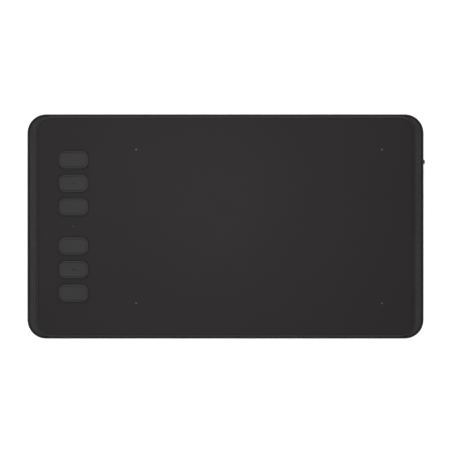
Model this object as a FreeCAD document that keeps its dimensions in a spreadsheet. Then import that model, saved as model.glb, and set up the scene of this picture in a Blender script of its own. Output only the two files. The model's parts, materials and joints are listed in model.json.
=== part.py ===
import FreeCAD, Part
import Sketcher
import math
import os
import re
from FreeCAD import Vector

# Cordless graphics tablet with six keys, in millimetres.
# The origin is under the middle of the casing, on the desk. X runs to the right,
# Y away from the user and Z up.

# Driving sizes
SIZES = {
    # how far a cutting outline runs past the material
    "cut_spare": 1.0,
    # casing
    "casing_width": 258.0,
    "casing_depth": 146.0,
    "casing_height": 8.0,
    "casing_corner": 12.2,
    "base_wall": 1.4,
    "side_wall": 1.6,
    "base_bevel_in": 2.2,
    "base_bevel_up": 1.3,
    "rim_width": 1.05,
    "rim_drop": 0.7,
    "rim_round": 0.5,
    "label_width": 64.0,
    "label_depth": 34.0,
    "label_recess": 0.2,
    # textured bands at the short ends
    "end_margin": 6.0,
    "band_height": 2.8,
    "band_curve": 52.0,
    "band_curve_start": 12.0,
    "band_tip": 11.9,
    "band_seat_length": 13.4,
    "band_ledge": 1.4,
    "band_gap": 0.45,
    "post_diameter": 3.6,
    "post_inset": 4.3,
    "post_near": 20.0,
    "post_far": 60.0,
    "pin_diameter": 1.5,
    "pin_length": 1.0,
    "pin_gap": 0.1,
    # front panel and its film
    "panel_thick": 1.4,
    "panel_gap": 0.15,
    "panel_corner": 9.2,
    "panel_bevel_in": 1.1,
    "panel_bevel_down": 0.5,
    "skirt_gap": 0.3,
    "skirt_wall": 1.0,
    "skirt_depth": 0.9,
    "film_thick": 0.2,
    "film_margin": 0.35,
    "film_gap": 0.15,
    # feet
    "foot_width": 24.0,
    "foot_depth": 9.0,
    "foot_corner": 3.0,
    "foot_proud": 0.8,
    "foot_seat": 0.5,
    "foot_gap": 0.1,
    "foot_bevel": 0.3,
    # casing screws, which stand in line with the feet
    "screw_inset_side": 17.0,
    "screw_inset_end": 10.0,
    "screw_shank": 1.9,
    "screw_hole": 2.0,
    "screw_passage": 2.3,
    "screw_length": 5.0,
    "screw_head_diameter": 3.8,
    "screw_head_height": 0.7,
    "screw_head_pit": 0.35,
    "screw_cross_width": 0.5,
    "screw_cross_length": 2.0,
    "screw_head_seat": 1.3,
    "screw_head_hole": 4.2,
    "screw_clamp": 1.2,
    "screw_boss": 6.0,
    "panel_boss": 5.0,
    "panel_hole_rise": 0.1,
    # keys
    "key_column_inset": 30.0,
    "key_first": 12.7,
    "key_pitch": 15.35,
    "key_width": 18.9,
    "key_depth": 11.1,
    "key_corner": 3.8,
    "key_hole_corner": 3.4,
    "key_proud": 0.6,
    "key_bevel_in": 0.75,
    "key_bevel_down": 0.12,
    "key_line_width": 0.45,
    "key_line_depth": 0.3,
    "key_gap": 0.15,
    "key_flange": 0.9,
    "key_flange_thick": 0.6,
    "key_play": 0.1,
    "key_wall": 1.1,
    "key_roof": 1.1,
    "key_stem": 3.0,
    "key_dimple": 0.9,
    "key_dimple_depth": 0.6,
    # tact switches under the keys
    "switch_width": 5.2,
    "switch_corner": 0.5,
    "switch_body_height": 1.6,
    "switch_height": 2.3,
    "switch_hole": 2.8,
    "switch_floor": 0.3,
    "plunger_diameter": 2.4,
    "plunger_length": 1.6,
    # boards
    "board_standoff": 0.8,
    "board_thick": 1.0,
    "board_corner": 1.5,
    "main_board_inset": 13.0,
    "main_board_width": 40.0,
    "main_board_depth": 112.0,
    "board_screw_inset": 4.0,
    "board_screw_length": 2.2,
    "board_screw_head": 3.4,
    "board_screw_head_height": 0.8,
    "board_screw_passage": 2.2,
    "board_boss": 4.4,
    "board_hole_floor": 0.8,
    # parts on the main board
    "chip_controller": 7.0,
    "chip_controller_height": 0.9,
    "chip_controller_y": 8.0,
    "chip_power": 4.0,
    "chip_power_height": 0.8,
    "chip_power_y": 20.0,
    "chip_memory_width": 5.0,
    "chip_memory_depth": 6.0,
    "chip_memory_y": -24.5,
    "chip_row_inset": 8.5,
    "crystal_width": 2.0,
    "crystal_depth": 3.2,
    "crystal_height": 0.6,
    "crystal_y": 1.0,
    "can_width": 12.0,
    "can_depth": 14.0,
    "can_height": 1.6,
    "can_wall": 0.2,
    "can_corner": 0.6,
    "can_inset": 11.0,
    "can_y": -43.0,
    "radio_chip": 5.0,
    "light_width": 1.6,
    "light_depth": 0.8,
    "light_height": 0.75,
    "pipe_diameter": 0.6,
    "pipe_hole": 0.8,
    "pipe_collar": 2.4,
    "pipe_collar_height": 0.8,
    "pipe_stem": 1.6,
    "pipe_light_gap": 0.15,
    # sensor
    "active_width": 160.0,
    "active_depth": 100.0,
    "active_inset": 27.15,
    "sensor_border": 9.0,
    "sensor_side_border": 8.0,
    "sensor_corner": 2.0,
    "sensor_thick": 0.8,
    "adhesive_thick": 0.15,
    "adhesive_margin": 4.0,
    "shield_thick": 0.3,
    "shield_margin": 2.0,
    "shield_connector_room": 6.0,
    "foam_thick": 0.5,
    "foam_width": 2.0,
    "foam_rib_y": 48.0,
    "foam_rib_inset": 8.0,
    "battery_foam_width": 40.0,
    "battery_foam_depth": 24.0,
    # flat cables and their connectors
    "connector_width": 3.0,
    "connector_height": 1.2,
    "connector_inset": 0.5,
    "connector_extra": 2.0,
    "flex_thick": 0.2,
    "sensor_flex_width": 16.0,
    "sensor_flex_y": -10.0,
    "sensor_flex_run": 3.0,
    "side_flex_width": 6.0,
    "side_flex_run": 4.5,
    "side_flex_slope": 8.0,
    "flex_floor_gap": 0.02,
    # side board, charging socket and power switch
    "side_board_gap": 1.8,
    "side_board_width": 13.1,
    "side_board_depth": 25.0,
    "side_board_y": 35.0,
    "side_screw_inset_x": 2.6,
    "side_screw_inset_y": 3.0,
    "socket_y": 28.0,
    "socket_width": 8.94,
    "socket_height": 3.16,
    "socket_corner": 1.28,
    "socket_wall": 0.3,
    "socket_length": 7.35,
    "socket_inset": 0.3,
    "socket_lift": 0.15,
    "socket_gap": 0.1,
    "socket_board_gap": 0.13,
    "tongue_width": 6.69,
    "tongue_thick": 0.7,
    "tongue_length": 4.45,
    "tongue_base": 2.2,
    "tongue_gap": 0.02,
    "button_y": 42.05,
    "button_width": 2.8,
    "button_height": 1.6,
    "button_corner": 0.75,
    "button_proud": 0.87,
    "button_dome": 0.6,
    "button_gap": 0.15,
    "button_flange_width": 5.0,
    "button_flange_drop": 1.0,
    "button_band_gap": 0.1,
    "button_flange_thick": 0.5,
    "button_play": 0.1,
    "button_stem": 1.2,
    "button_stem_length": 0.5,
    "power_switch_width": 3.5,
    "power_switch_length": 3.0,
    "power_switch_height": 1.8,
    "power_plunger_width": 1.6,
    "power_plunger_height": 0.8,
    "power_plunger_proud": 0.8,
    "power_plunger_inside": 0.6,
    "power_plunger_room": 0.4,
    "power_plunger_gap": 0.1,
    # battery
    "cell_width": 86.0,
    "cell_depth": 60.0,
    "cell_height": 3.0,
    "cell_round": 0.8,
    "tape_thick": 0.15,
    "protection_width": 4.0,
    "protection_depth": 24.0,
    "protection_height": 1.0,
    "protection_gap": 0.2,
    "battery_rib": 1.0,
    "battery_rib_height": 0.9,
    "battery_gap": 0.3,
    "battery_foam_gap": 0.05,
    "lead_diameter": 0.9,
    "lead_gap": 0.03,
    "lead_spread": 1.5,
    "lead_first_run": 19.0,
    "lead_last_run": 17.0,
    "lead_stagger": 0.9,
    "plug_width": 4.0,
    "plug_depth": 4.6,
    "plug_height": 1.5,
    "plug_pitch": 1.25,
    "plug_y": -31.6,
    "header_width": 3.4,
    "header_depth": 6.0,
    "header_height": 1.8,
}

# Places and sizes that follow from the driving ones; heights are above the desk
# unless a name says otherwise
WORKED_OUT = {
    "half_width": "casing_width / 2",
    "half_depth": "casing_depth / 2",
    "floor_top": "foot_proud + base_wall",
    "plateau": "foot_proud + casing_height",
    "rim_top": "plateau - rim_drop",
    "panel_under": "plateau - panel_thick",
    "band_under": "plateau - band_height",
    "panel_width": "casing_width - 2 * end_margin",
    "panel_depth": "casing_depth - 2 * rim_width - 2 * panel_gap",
    "film_width": "panel_width - 2 * panel_bevel_in - 2 * film_margin",
    "film_depth": "panel_depth - 2 * panel_bevel_in - 2 * film_margin",
    "film_corner": "panel_corner - panel_bevel_in - film_margin",
    "post_x": "half_width - post_inset",
    "screw_x": "half_width - screw_inset_side",
    "screw_y": "half_depth - screw_inset_end",
    "screw_seat": "foot_proud + screw_head_seat",
    "boss_joint": "screw_seat + screw_clamp",
    "key_x": "0 - half_width + key_column_inset",
    "key_under": "panel_under - key_play - key_flange_thick",
    "key_top": "plateau + key_proud",
    "board_under": "floor_top + board_standoff",
    "board_top": "board_under + board_thick",
    "plunger_top": "board_top + switch_height",
    "main_board_left": "0 - half_width + main_board_inset",
    "main_board_right": "main_board_left + main_board_width",
    "main_board_x": "main_board_left + main_board_width / 2",
    "board_screw_x": "main_board_width / 2 - board_screw_inset",
    "board_screw_y": "main_board_depth / 2 - board_screw_inset",
    "chip_row_x": "main_board_right - chip_row_inset",
    "can_x": "main_board_right - can_inset",
    "active_x": "half_width - active_inset - active_width / 2",
    "sensor_width": "active_width + 2 * sensor_border",
    "sensor_depth": "active_depth + 2 * sensor_side_border",
    "sensor_left": "active_x - sensor_width / 2",
    "sensor_top": "panel_under - adhesive_thick",
    "sensor_under": "sensor_top - sensor_thick",
    "shield_under": "sensor_under - shield_thick",
    "shield_width": "sensor_width - 2 * shield_margin - shield_connector_room",
    "shield_depth": "sensor_depth - 2 * shield_margin",
    "shield_x": "active_x + shield_connector_room / 2",
    "foam_under": "shield_under - foam_thick",
    "foam_length": "sensor_width - 2 * foam_rib_inset",
    "main_connector_x": "main_board_right - connector_inset - connector_width / 2",
    "sensor_connector_x": "sensor_left + connector_inset + connector_width / 2",
    "side_board_right": "half_width - side_wall - side_board_gap",
    "side_board_left": "side_board_right - side_board_width",
    "side_board_x": "side_board_right - side_board_width / 2",
    "side_connector_x": "side_board_left + connector_inset + connector_width / 2",
    "side_screw_x": "side_board_left + side_screw_inset_x",
    "side_screw_y": "side_board_depth / 2 - side_screw_inset_y",
    "socket_under": "floor_top + socket_lift",
    "socket_middle": "socket_under + socket_height / 2",
    "socket_back": "half_width - socket_inset - socket_length",
    "button_middle": "board_top + power_switch_height / 2",
    "button_back": "half_width - side_wall - button_play - button_flange_thick",
    "power_switch_right": "power_plunger_tip - power_plunger_proud",
    "power_plunger_tip": "button_back - button_stem_length",
    "cell_under": "floor_top + tape_thick",
    "cell_top": "cell_under + cell_height",
    "protection_x": "active_x - cell_width / 2 - protection_gap - protection_width / 2",
    "protection_top": "cell_under + protection_height",
    "battery_length": "cell_width + protection_gap + protection_width",
    "battery_x": "active_x - (protection_gap + protection_width) / 2",
    "header_x": "main_board_right - header_width / 2",
    "plug_x": "main_board_right + plug_width / 2",
}

KEY_COUNT = 6
DIMPLED_KEYS = (2, 5)
SIDES = (-1, 1)

doc = FreeCAD.newDocument("graphics_tablet")


# The sheet of sizes and the formulas on it

def make_sheet():
    """Write the driving sizes into a sheet, one named cell each."""
    sheet = doc.addObject("Spreadsheet::Sheet", "sizes")
    for row, (word, size) in enumerate(SIZES.items(), start=1):
        sheet.set("A%d" % row, word)
        sheet.set("B%d" % row, str(size))
        sheet.setAlias("B%d" % row, word)
    doc.recompute()
    return sheet


def formula(text):
    """Spell a formula out in cells of the sheet."""
    def spell(match):
        word = match.group()
        if word in SIZES:
            return "sizes." + word
        if word in WORKED_OUT:
            return "(" + formula(WORKED_OUT[word]) + ")"
        return word
    return re.sub(r"[a-z][a-z_]*", spell, text)


def value(text):
    """The number that a formula gives now."""
    return float(sheet.evalExpression(formula(text)))


def bind(thing, path, text):
    """Tie a property to a formula, so that it follows the sheet."""
    thing.setExpression(path, formula(text))


def times(side, text):
    """A formula on one side of the middle: side is -1, 0 or 1."""
    return "%d * (%s)" % (side, text)


# Pieces, sketches and features

def place(thing, x, y, z):
    """Stand a piece at x, y, z."""
    bind(thing, "Placement.Base.x", x)
    bind(thing, "Placement.Base.y", y)
    bind(thing, "Placement.Base.z", z)


def piece(label, x="0", y="0", z="0"):
    """Start a body that stands at x, y, z and is drawn from there."""
    body = doc.addObject("PartDesign::Body", label)
    body.Label = label
    place(body, x, y, z)
    pieces.append(body)
    return body


def origin_feature(body, role):
    """One of the body's own planes or axes."""
    return [part for part in body.Origin.OriginFeatures if part.Role == role][0]


def start_sketch(body, name, plane="XY_Plane", at="0"):
    """A sketch on one of the body's planes, moved along that plane's normal."""
    sketch = body.newObject("Sketcher::SketchObject", name)
    sketch.AttachmentSupport = [(origin_feature(body, plane), "")]
    sketch.MapMode = "FlatFace"
    bind(sketch, "AttachmentOffset.Base.z", at)
    return sketch


def hold(sketch, kind, points, size):
    """Fix a sketch with one dimension that follows the sheet."""
    number = sketch.addConstraint(Sketcher.Constraint(kind, *points, value(size)))
    bind(sketch, "Constraints[%d]" % number, size)


def tie(sketch, kind, *points):
    """Add a constraint that has no dimension."""
    sketch.addConstraint(Sketcher.Constraint(kind, *points))


def line(sketch, start, end):
    """Draw a line between two points given as x, y."""
    return sketch.addGeometry(Part.LineSegment(Vector(*start, 0), Vector(*end, 0)))


def circle(diameter, x="0", y="0"):
    """A round outline."""
    def draw(sketch):
        centre = Vector(value(x), value(y), 0)
        ring = sketch.addGeometry(Part.Circle(centre, Vector(0, 0, 1), value(diameter) / 2))
        hold(sketch, "Diameter", (ring,), diameter)
        hold(sketch, "DistanceX", (-1, 1, ring, 3), x)
        hold(sketch, "DistanceY", (-1, 1, ring, 3), y)
    return draw


def square(wide, deep, x="0", y="0"):
    """An outline with four sharp corners, centred at x, y."""
    def draw(sketch):
        right, top = value(wide) / 2, value(deep) / 2
        corners = [(-right, -top), (right, -top), (right, top), (-right, top)]
        corners = [(value(x) + across, value(y) + up) for across, up in corners]
        sides = [line(sketch, corners[turn], corners[(turn + 1) % 4]) for turn in range(4)]
        for turn in range(4):
            tie(sketch, "Coincident", sides[turn], 2, sides[(turn + 1) % 4], 1)
            tie(sketch, ("Horizontal", "Vertical")[turn % 2], sides[turn])
        hold(sketch, "DistanceX", (sides[3], 1, sides[1], 1), wide)
        hold(sketch, "DistanceY", (sides[0], 1, sides[2], 1), deep)
        hold(sketch, "DistanceX", (-1, 1, sides[3], 1), "(%s) - (%s) / 2" % (x, wide))
        hold(sketch, "DistanceY", (-1, 1, sides[0], 1), "(%s) - (%s) / 2" % (y, deep))
    return draw


def rounded(wide, deep, corner, x="0", y="0"):
    """An outline with four round corners, centred at x, y."""
    def draw(sketch):
        radius = value(corner)
        right, top = value(wide) / 2, value(deep) / 2
        flat_right, flat_top = right - radius, top - radius
        middle_x, middle_y = value(x), value(y)
        ends = [
            ((-flat_right, -top), (flat_right, -top)),
            ((right, -flat_top), (right, flat_top)),
            ((flat_right, top), (-flat_right, top)),
            ((-right, flat_top), (-right, -flat_top)),
        ]
        centres = [(flat_right, -flat_top), (flat_right, flat_top),
                   (-flat_right, flat_top), (-flat_right, -flat_top)]
        sides, bends = [], []
        for turn in range(4):
            start, end = [(middle_x + across, middle_y + up) for across, up in ends[turn]]
            sides.append(line(sketch, start, end))
            centre = Vector(middle_x + centres[turn][0], middle_y + centres[turn][1], 0)
            ring = Part.Circle(centre, Vector(0, 0, 1), radius)
            first = (turn - 1) * math.pi / 2
            bends.append(sketch.addGeometry(Part.ArcOfCircle(ring, first, first + math.pi / 2)))
        for turn in range(4):
            tie(sketch, "Tangent", sides[turn], 2, bends[turn], 1)
            tie(sketch, "Tangent", bends[turn], 2, sides[(turn + 1) % 4], 1)
            tie(sketch, ("Horizontal", "Vertical")[turn % 2], sides[turn])
        for turn in range(1, 4):
            tie(sketch, "Equal", bends[0], bends[turn])
        hold(sketch, "Radius", (bends[0],), corner)
        hold(sketch, "DistanceX", (sides[3], 1, sides[1], 1), wide)
        hold(sketch, "DistanceY", (sides[0], 1, sides[2], 1), deep)
        hold(sketch, "DistanceX", (-1, 1, sides[3], 1), "(%s) - (%s) / 2" % (x, wide))
        hold(sketch, "DistanceY", (-1, 1, sides[0], 1), "(%s) - (%s) / 2" % (y, deep))
    return draw


def grow(body, name, outlines, low, high, plane="XY_Plane"):
    """Add material between two heights on the plane's normal."""
    sketch = start_sketch(body, name + "_outline", plane, low)
    for outline in outlines:
        outline(sketch)
    pad = body.newObject("PartDesign::Pad", name)
    pad.Profile = sketch
    bind(pad, "Length", "(%s) - (%s)" % (high, low))
    return pad


def cut(body, name, outlines, low, high, plane="XY_Plane"):
    """Take material away between two heights on the plane's normal."""
    sketch = start_sketch(body, name + "_outline", plane, high)
    for outline in outlines:
        outline(sketch)
    pocket = body.newObject("PartDesign::Pocket", name)
    pocket.Profile = sketch
    bind(pocket, "Length", "(%s) - (%s)" % (high, low))
    return pocket


def edges_where(feature, wanted):
    """Names of a feature's edges for which wanted(shape, edge) holds."""
    doc.recompute()
    shape = feature.Shape
    return ["Edge%d" % number for number, edge in enumerate(shape.Edges, start=1)
            if wanted(shape, edge)]


def level(height):
    """Picks edges that lie wholly at one height."""
    def wanted(shape, edge):
        box = edge.BoundBox
        return max(abs(box.ZMin - value(height)), abs(box.ZMax - value(height))) < PICK_GAP
    return wanted


def bevel(body, name, feature, wanted, across, down):
    """Bevel edges by two distances: across the flat face and down the wall."""
    chamfer = body.newObject("PartDesign::Chamfer", name)
    chamfer.Base = (feature, edges_where(feature, wanted))
    chamfer.ChamferType = "Two distances"
    # the first size is the one on the wall
    bind(chamfer, "Size", down)
    bind(chamfer, "Size2", across)
    return chamfer


def blend(body, name, feature, wanted, radius):
    """Round edges."""
    fillet = body.newObject("PartDesign::Fillet", name)
    fillet.Base = (feature, edges_where(feature, wanted))
    bind(fillet, "Radius", radius)
    return fillet


def turned(body, name, stages):
    """A stepped round piece on the Z axis, from stages of diameter and top height."""
    sketch = start_sketch(body, name + "_profile", "XZ_Plane")
    corners = [("0", "0")]
    low = "0"
    for diameter, high in stages:
        corners.append(("(%s) / 2" % diameter, low))
        corners.append(("(%s) / 2" % diameter, high))
        low = high
    corners.append(("0", low))
    spots = [(value(across), value(up)) for across, up in corners]
    count = len(spots)
    sides = [line(sketch, spots[turn], spots[(turn + 1) % count]) for turn in range(count)]
    for turn in range(count):
        tie(sketch, "Coincident", sides[turn], 2, sides[(turn + 1) % count], 1)
        tie(sketch, ("Horizontal", "Vertical")[turn % 2], sides[turn])
    tie(sketch, "Coincident", sides[0], 1, -1, 1)
    for turn in range(1, count - 1, 2):
        hold(sketch, "DistanceX", (-1, 1, sides[turn], 1), corners[turn][0])
        hold(sketch, "DistanceY", (-1, 1, sides[turn], 2), corners[turn + 1][1])
    revolution = body.newObject("PartDesign::Revolution", name)
    revolution.Profile = sketch
    revolution.ReferenceAxis = (sketch, ["V_Axis"])
    revolution.Angle = 360.0
    return revolution


def box(label, wide, deep, tall, x, y, z):
    """A plain block centred at x, y and standing at z."""
    block = doc.addObject("Part::Box", label)
    block.Label = label
    bind(block, "Length", wide)
    bind(block, "Width", deep)
    bind(block, "Height", tall)
    place(block, "(%s) - (%s) / 2" % (x, wide), "(%s) - (%s) / 2" % (y, deep), z)
    pieces.append(block)
    return block


def route(points):
    """A path of straight runs joined by tangent arcs, as large as the runs allow."""
    edges = []
    here = points[0]
    for before, corner, after in zip(points, points[1:], points[2:]):
        arriving = corner - before
        leaving = after - corner
        shorter = min(arriving.Length, leaving.Length)
        turn = arriving.getAngle(leaving)
        radius = ARC_SHARE * shorter / math.tan(turn / 2)
        arriving.normalize()
        leaving.normalize()
        inward = leaving - arriving
        inward.normalize()
        start = corner - arriving * (ARC_SHARE * shorter)
        middle = corner + inward * (radius / math.cos(turn / 2) - radius)
        end = corner + leaving * (ARC_SHARE * shorter)
        edges.append(Part.LineSegment(here, start).toShape())
        edges.append(Part.Arc(start, middle, end).toShape())
        here = end
        print("    radius %.1f" % radius)
    edges.append(Part.LineSegment(here, points[-1]).toShape())
    return Part.Wire(edges)


def led_along(label, points, section, area):
    """A wire or flat cable along a route; section is drawn at the first point."""
    start = points[0]
    path = route([point - start for point in points])
    shape = path.makePipeShell([section], True, True)
    feature = doc.addObject("Part::Feature", label)
    feature.Label = label
    feature.Shape = shape
    feature.Placement = FreeCAD.Placement(start, FreeCAD.Rotation())
    print("  %s is %.1f long, volume %.2f, section times length %.2f"
          % (label, path.Length, shape.Volume, area * path.Length))
    pieces.append(feature)
    return feature


# Places that several pieces share

def key_y(number):
    """The middle of a key, counted from the far end of the column."""
    steps = (2, 1, 0, 0, 1, 2)[number - 1]
    side = 1 if number <= KEY_COUNT // 2 else -1
    return times(side, "key_first + %d * key_pitch" % steps)


def key_outlines(outline, *sizes):
    """The same outline at every key."""
    return [outline(*sizes, x="key_x", y=key_y(number)) for number in range(1, KEY_COUNT + 1)]


def screw_circles(diameter):
    """Round outlines at the six casing screws."""
    return [circle(diameter, x=times(across, "screw_x"), y=times(up, "screw_y"))
            for across in (-1, 0, 1) for up in SIDES]


def main_screw_circles(diameter, x="0"):
    """Round outlines at the four screws of the main board."""
    return [circle(diameter, x="%s + %s" % (x, times(across, "board_screw_x")),
                   y=times(up, "board_screw_y"))
            for across in SIDES for up in SIDES]


def side_screw_circles(diameter, x="side_screw_x", y="side_board_y"):
    """Round outlines at the two screws of the side board."""
    return [circle(diameter, x=x, y="%s + %s" % (y, times(up, "side_screw_y"))) for up in SIDES]


def post_circles(diameter, sides=SIDES):
    """Round outlines at the posts that carry the end bands."""
    return [circle(diameter, x=times(side, "post_x"), y=times(up, spot))
            for side in sides for up in SIDES for spot in ("post_near", "post_far")]


def draw_end_curve(sketch, side, top):
    """The region above the curved slope at one short end, seen from the front."""
    start = times(side, "half_width - band_curve_start")
    outer = times(side, "half_width + cut_spare")
    radius = value("band_curve")
    centre = Vector(value(start), value(top) - radius, 0)
    reach = math.acos(value("band_curve_start + cut_spare") / radius)
    angles = (reach, math.pi / 2) if side > 0 else (math.pi / 2, math.pi - reach)
    arc = sketch.addGeometry(Part.ArcOfCircle(Part.Circle(centre, Vector(0, 0, 1), radius), *angles))
    low_end, high_end = (1, 2) if side > 0 else (2, 1)
    above = value(top) + value("cut_spare")
    low = centre.y + radius * math.sin(reach)
    wall = line(sketch, (value(outer), low), (value(outer), above))
    lid = line(sketch, (value(outer), above), (value(start), above))
    back = line(sketch, (value(start), above), (value(start), value(top)))
    tie(sketch, "Coincident", arc, low_end, wall, 1)
    tie(sketch, "Coincident", wall, 2, lid, 1)
    tie(sketch, "Coincident", lid, 2, back, 1)
    tie(sketch, "Coincident", back, 2, arc, high_end)
    tie(sketch, "Vertical", wall)
    tie(sketch, "Horizontal", lid)
    tie(sketch, "Vertical", back)
    tie(sketch, "Vertical", arc, 3, arc, high_end)
    hold(sketch, "Radius", (arc,), "band_curve")
    hold(sketch, "DistanceX", (-1, 1, arc, 3), start)
    hold(sketch, "DistanceY", (-1, 1, arc, 3), "(%s) - band_curve" % top)
    hold(sketch, "DistanceX", (-1, 1, wall, 2), outer)
    hold(sketch, "DistanceY", (-1, 1, wall, 2), "(%s) + cut_spare" % top)


def slope_ends(body, sides, top):
    """Take the curved slope off the top at the given short ends."""
    sketch = start_sketch(body, "end_slope_profile", "XZ_Plane")
    for side in sides:
        draw_end_curve(sketch, side, top)
    pocket = body.newObject("PartDesign::Pocket", "end_slope")
    pocket.Profile = sketch
    pocket.SideType = "Symmetric"
    bind(pocket, "Length", "casing_depth + 2 * cut_spare")
    return pocket


def beside_wall(shape, edge):
    """Picks the upper edges that border an upright face."""
    if edge.BoundBox.ZMin < shape.BoundBox.ZMax / 2:
        return False
    return any(abs(face.normalAt(*face.Surface.parameter(face.CenterOfMass)).z) < PICK_GAP
               for face in shape.ancestorsOfType(edge, Part.Face))


def end_tab(side, clearance):
    """The area of one end band in plan, with a clearance to its seat."""
    reach = "half_width - rim_width - (%s)" % clearance
    inner = "half_width - band_seat_length + (%s)" % clearance
    depth = "casing_depth - 2 * rim_width - 2 * (%s)" % clearance
    corner = "casing_corner - rim_width - (%s)" % clearance
    def draw(sketch):
        out, back = side * value(reach), side * value(inner)
        high, radius = value(depth) / 2, value(corner)
        bend_x = out - side * radius
        low_line = line(sketch, (back, -high), (bend_x, -high))
        end_line = line(sketch, (out, radius - high), (out, high - radius))
        high_line = line(sketch, (bend_x, high), (back, high))
        back_line = line(sketch, (back, high), (back, -high))
        quarter = math.pi / 2
        bends = []
        for up in SIDES:
            ring = Part.Circle(Vector(bend_x, up * (high - radius), 0), Vector(0, 0, 1), radius)
            first = {(1, -1): -quarter, (1, 1): 0, (-1, 1): quarter, (-1, -1): 2 * quarter}[side, up]
            bends.append(sketch.addGeometry(Part.ArcOfCircle(ring, first, first + quarter)))
        first_end, last_end = (1, 2) if side > 0 else (2, 1)
        tie(sketch, "Tangent", low_line, 2, bends[0], first_end)
        tie(sketch, "Tangent", bends[0], last_end, end_line, 1)
        tie(sketch, "Tangent", end_line, 2, bends[1], first_end)
        tie(sketch, "Tangent", bends[1], last_end, high_line, 1)
        tie(sketch, "Coincident", high_line, 2, back_line, 1)
        tie(sketch, "Coincident", back_line, 2, low_line, 1)
        tie(sketch, "Horizontal", low_line)
        tie(sketch, "Horizontal", high_line)
        tie(sketch, "Vertical", end_line)
        tie(sketch, "Vertical", back_line)
        tie(sketch, "Equal", bends[0], bends[1])
        hold(sketch, "Radius", (bends[0],), corner)
        hold(sketch, "DistanceX", (-1, 1, end_line, 1), times(side, reach))
        hold(sketch, "DistanceX", (-1, 1, back_line, 1), times(side, inner))
        hold(sketch, "DistanceY", (-1, 1, low_line, 1), "0 - (%s) / 2" % depth)
        hold(sketch, "DistanceY", (-1, 1, high_line, 1), "(%s) / 2" % depth)
    return draw


# Casing

def rear_housing():
    """Tray with base, walls, rim, posts, bosses and ribs."""
    body = piece("rear_housing", z="foot_proud")
    rim = "rim_top - foot_proud"
    panel_seat = "panel_under - foot_proud"
    grow(body, "shell", [rounded("casing_width", "casing_depth", "casing_corner")], "0", rim)
    slope = slope_ends(body, SIDES, rim)
    underside = bevel(body, "underside_bevel", slope, level("0"), "base_bevel_in", "base_bevel_up")
    blend(body, "rim_round", underside, beside_wall, "rim_round")
    cut(body, "panel_opening", [rounded("casing_width - 2 * rim_width", "casing_depth - 2 * rim_width",
                                        "casing_corner - rim_width")], panel_seat, rim)
    cut(body, "band_seats", [end_tab(side, "0") for side in SIDES], "band_under - foot_proud",
        panel_seat)
    cut(body, "cavity", [rounded("casing_width - 2 * side_wall", "casing_depth - 2 * side_wall",
                                 "casing_corner - side_wall")], "base_wall", panel_seat)
    grow(body, "screw_bosses", screw_circles("screw_boss"), "base_wall", "boss_joint - foot_proud")
    board_circles = main_screw_circles("board_boss", "main_board_x") + side_screw_circles("board_boss")
    grow(body, "board_bosses", board_circles, "base_wall", "board_under - foot_proud")
    grow(body, "band_posts", post_circles("post_diameter"), "base_wall", "band_under - foot_proud")
    grow(body, "band_pins", post_circles("pin_diameter"), "band_under - foot_proud",
         "band_under - foot_proud + pin_length")
    ribs = [square("foam_length", "foam_width", x="active_x", y=times(up, "foam_rib_y"))
            for up in SIDES]
    grow(body, "sensor_ribs", ribs, "base_wall", "foam_under - foot_proud")
    fence_x, fence_y = "battery_length + 2 * battery_gap", "cell_depth + 2 * battery_gap"
    fence = [square(fence_x, fence_y, x="battery_x"),
             square(fence_x + " + 2 * battery_rib", fence_y + " + 2 * battery_rib", x="battery_x")]
    grow(body, "battery_fence", fence, "base_wall", "base_wall + battery_rib_height")
    board_holes = main_screw_circles("screw_hole", "main_board_x") + side_screw_circles("screw_hole")
    cut(body, "board_screw_holes", board_holes, "board_hole_floor", "board_under - foot_proud")
    feet = [rounded("foot_width + 2 * foot_gap", "foot_depth + 2 * foot_gap", "foot_corner + foot_gap",
                    x=times(across, "screw_x"), y=times(up, "screw_y"))
            for across in SIDES for up in SIDES]
    cut(body, "foot_seats", feet, "0", "foot_seat")
    cut(body, "screw_head_holes", screw_circles("screw_head_hole"), "0", "screw_head_seat")
    cut(body, "screw_passages", screw_circles("screw_passage"), "0", "boss_joint - foot_proud")
    cut(body, "label_place", [rounded("label_width", "label_depth", "foot_corner")], "0",
        "label_recess")
    cut(body, "socket_slot", [rounded("socket_width + 2 * socket_gap", "socket_height + 2 * socket_gap",
                                      "socket_corner + socket_gap", x="socket_y",
                                      y="socket_middle - foot_proud")],
        "half_width - side_wall - cut_spare", "half_width + cut_spare", "YZ_Plane")
    cut(body, "button_slot", [rounded("button_width + 2 * button_gap", "button_height + 2 * button_gap",
                                      "button_corner + button_gap", x="button_y",
                                      y="button_middle - foot_proud")],
        "half_width - side_wall - cut_spare", "half_width + cut_spare", "YZ_Plane")


def end_band(side):
    """Textured strip between the panel and the rim at one short end."""
    body = piece("%s_end_band" % SIDE_NAMES[side], z="band_under")
    top = "rim_top - band_under"
    grow(body, "strip", [end_tab(side, "band_gap")], "0", top)
    cut(body, "tips", [square("2 * (half_width - band_tip)", "casing_depth")],
        "panel_under - band_under", top)
    slope_ends(body, (side,), top)
    cut(body, "panel_room", [rounded("panel_width + 2 * panel_gap", "panel_depth + 2 * panel_gap",
                                     "panel_corner + panel_gap")], "panel_under - band_under", top)
    cut(body, "inner_edge", [rounded("panel_width - 2 * band_ledge", "panel_depth - 2 * band_ledge",
                                     "panel_corner - band_ledge")], "0", top)
    cut(body, "pin_holes", post_circles("pin_diameter + 2 * pin_gap", (side,)), "0",
        "pin_length + pin_gap")


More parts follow.
